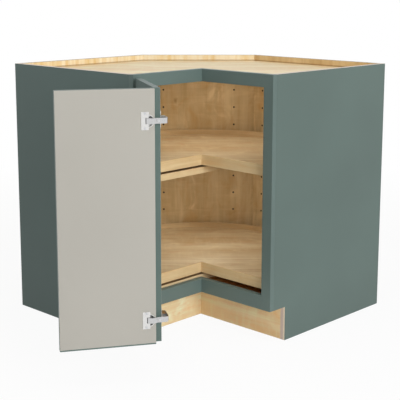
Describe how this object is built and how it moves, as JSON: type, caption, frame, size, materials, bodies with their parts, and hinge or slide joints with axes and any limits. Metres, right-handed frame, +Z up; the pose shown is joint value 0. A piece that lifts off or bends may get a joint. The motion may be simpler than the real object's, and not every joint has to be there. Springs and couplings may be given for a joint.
{
  "type": "corner carousel cabinet",
  "caption": "L-shaped corner base cabinet with diagonal back, face frame, folding corner door and turning pie-cut trays on ball bearings.",
  "frame": {"origin": "on the floor, in the middle of the lower edge of the diagonal back panel", "axes": "+Z up; +Y towards the wall behind the right wing; +X along that wall, away from the corner. The left wing runs along -Y, so the open corner faces (+X, -Y)"},
  "size_m": [0.9144, 1.306, 0.8763],
  "materials": {
    "maple_ply": "clear lacquered maple plywood",
    "teal_paint": "satin grey-green paint on wood",
    "leaf_back_foil": "matt grey-beige foil on the inner face, grey-green paint on the front and edges",
    "nickel_plate": "satin nickel plate",
    "zinc_steel": "bright zinc plate",
    "nylon": "natural nylon with steel balls"
  },
  "bodies": {
    "carcass": {"right_end_panel": "teal_paint", "left_end_panel": "teal_paint", "right_back_panel": "maple_ply", "left_back_panel": "maple_ply", "diagonal_back_panel": "maple_ply", "top_panel": "maple_ply", "floor_panel": "maple_ply", "right_toe_board": "maple_ply", "left_toe_board": "maple_ply", "right_stile": "teal_paint", "left_stile": "teal_paint", "right_top_rail": "teal_paint", "left_top_rail": "teal_paint", "right_bottom_rail": "teal_paint", "left_bottom_rail": "teal_paint", "lower_support_board": "maple_ply", "upper_support_board": "maple_ply", "right_shelf_clip_1": "zinc_steel", "left_shelf_clip_1": "zinc_steel", "right_shelf_clip_2": "zinc_steel", "left_shelf_clip_2": "zinc_steel", "lower_bearing_base": "zinc_steel", "upper_bearing_base": "zinc_steel", "lower_stile_hinge_arm": "nickel_plate", "lower_stile_hinge_screw": "zinc_steel", "upper_stile_hinge_arm": "nickel_plate", "upper_stile_hinge_screw": "zinc_steel"},
    "lower_tray": {"lower_tray_floor": "maple_ply", "lower_tray_rim": "maple_ply", "lower_tray_right_rail": "maple_ply", "lower_tray_left_rail": "maple_ply", "lower_bearing_top": "zinc_steel"},
    "lower_ball_cage": {"lower_bearing_cage": "nylon"},
    "upper_tray": {"upper_tray_floor": "maple_ply", "upper_tray_rim": "maple_ply", "upper_tray_right_rail": "maple_ply", "upper_tray_left_rail": "maple_ply", "upper_bearing_top": "zinc_steel"},
    "upper_ball_cage": {"upper_bearing_cage": "nylon"},
    "door_leaf_a": {"door_leaf_a": "teal_paint", "lower_stile_hinge_socket": "nickel_plate", "lower_fold_hinge_plate": "nickel_plate", "lower_fold_plate_screw": "zinc_steel", "lower_fold_hinge_arm": "nickel_plate", "lower_fold_arm_screw": "zinc_steel", "upper_stile_hinge_socket": "nickel_plate", "upper_fold_hinge_plate": "nickel_plate", "upper_fold_plate_screw": "zinc_steel", "upper_fold_hinge_arm": "nickel_plate", "upper_fold_arm_screw": "zinc_steel"},
    "door_leaf_b": {"door_leaf_b": "leaf_back_foil", "lower_fold_hinge_cup": "nickel_plate", "lower_fold_hinge_pin": "zinc_steel", "lower_fold_cup_screw_1": "zinc_steel", "lower_fold_cup_screw_2": "zinc_steel", "upper_fold_hinge_cup": "nickel_plate", "upper_fold_hinge_pin": "zinc_steel", "upper_fold_cup_screw_1": "zinc_steel", "upper_fold_cup_screw_2": "zinc_steel"}
  },
  "joints": [
    {"name": "lower_tray_turn", "type": "hinge", "parent": "carcass", "child": "lower_tray", "pos_m": [0.30363, -0.30363, 0.174], "axis": [0, 0, 1], "range_deg": [-360, 360]},
    {"name": "lower_cage_turn", "type": "hinge", "parent": "carcass", "child": "lower_ball_cage", "pos_m": [0.30363, -0.30363, 0.1705], "axis": [0, 0, 1], "range_deg": [-180, 180]},
    {"name": "upper_tray_turn", "type": "hinge", "parent": "carcass", "child": "upper_tray", "pos_m": [0.30363, -0.30363, 0.549], "axis": [0, 0, 1], "range_deg": [-360, 360]},
    {"name": "upper_cage_turn", "type": "hinge", "parent": "carcass", "child": "upper_ball_cage", "pos_m": [0.30363, -0.30363, 0.5455], "axis": [0, 0, 1], "range_deg": [-180, 180]},
    {"name": "leaf_a_swing", "type": "hinge", "parent": "carcass", "child": "door_leaf_a", "pos_m": [0.46023, -0.74153, 0.4845], "axis": [0, 0, -1], "range_deg": [-122, 43]},
    {"name": "leaf_b_fold", "type": "hinge", "parent": "door_leaf_a", "child": "door_leaf_b", "pos_m": [0.68954, -0.90616, 0.4845], "axis": [0, 0, -1], "range_deg": [0, 60]}
  ],
  "couplings": [
    {"joint": "lower_cage_turn", "follows": "lower_tray_turn", "ratio": 0.5},
    {"joint": "upper_cage_turn", "follows": "upper_tray_turn", "ratio": 0.5}
  ]
}
